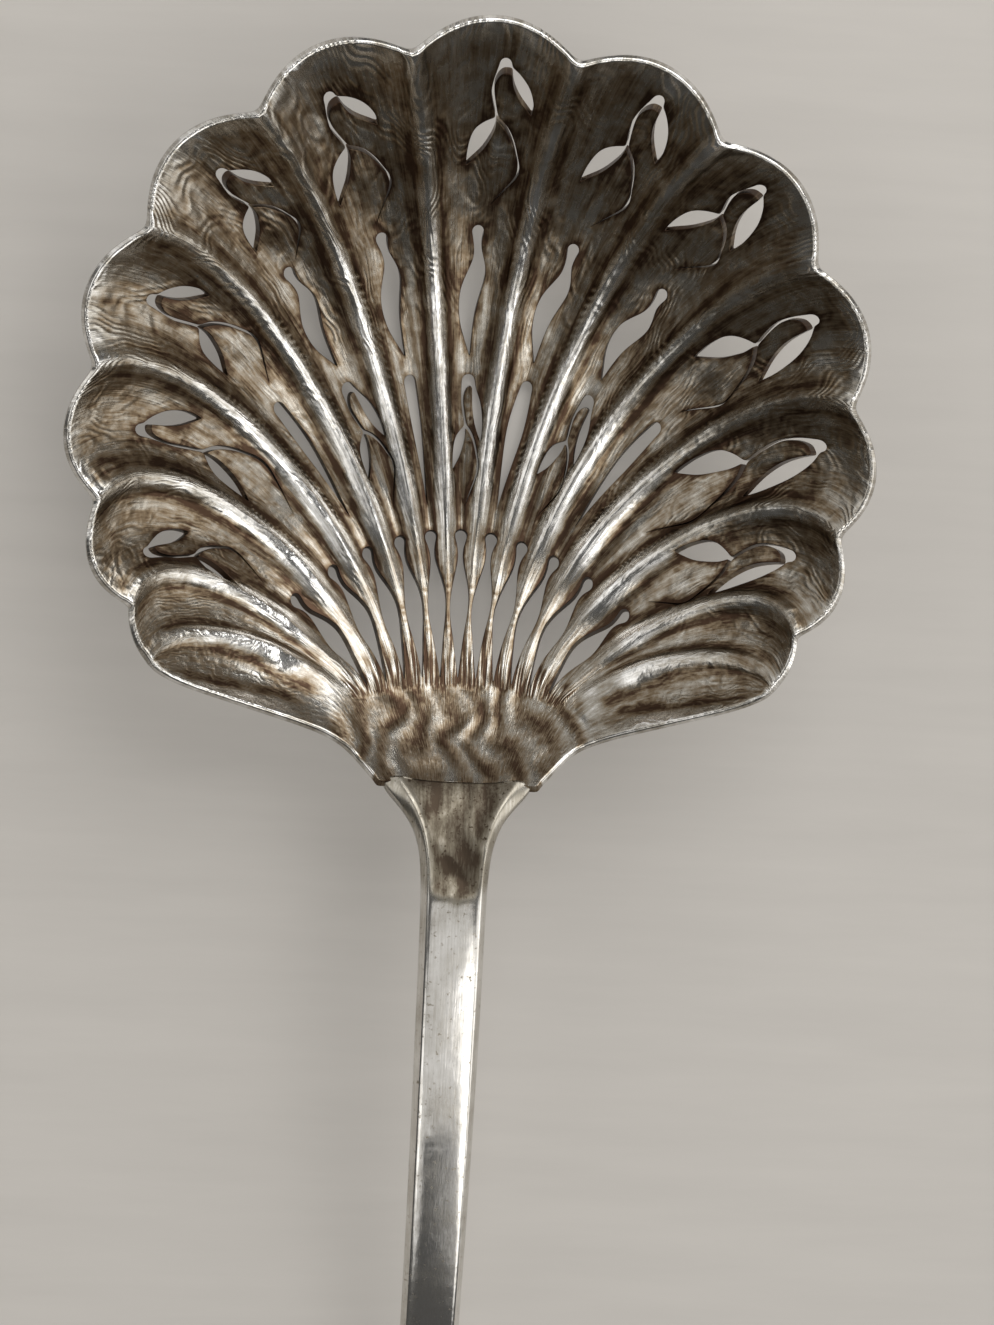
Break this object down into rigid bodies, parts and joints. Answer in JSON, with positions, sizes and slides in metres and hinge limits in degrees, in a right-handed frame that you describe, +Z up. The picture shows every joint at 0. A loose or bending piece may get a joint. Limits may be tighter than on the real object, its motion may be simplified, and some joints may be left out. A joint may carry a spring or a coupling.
{
  "type": "sugar sifter spoon",
  "caption": "Silver sifter spoon with a round, fluted and scalloped shell bowl pierced with scrolls and slots, soldered to a slim arched stem with a rounded end.",
  "frame": {"origin": "on the table under the middle of the spoon's length and width", "axes": "+Z up, +Y from the stem towards the tip of the bowl, +X to the right seen from above with the bowl away from the viewer"},
  "size_m": [0.073, 0.1984, 0.0205],
  "materials": {
    "bowl_silver": "tarnished silver, rubbed bright on the ridges and the rim",
    "stem_silver": "worn polished silver with fine scratches",
    "solder": "dull silver solder"
  },
  "bodies": {
    "root": {"pierced_bowl": "bowl_silver", "stem": "stem_silver", "solder_seam": "solder"}
  },
  "joints": []
}
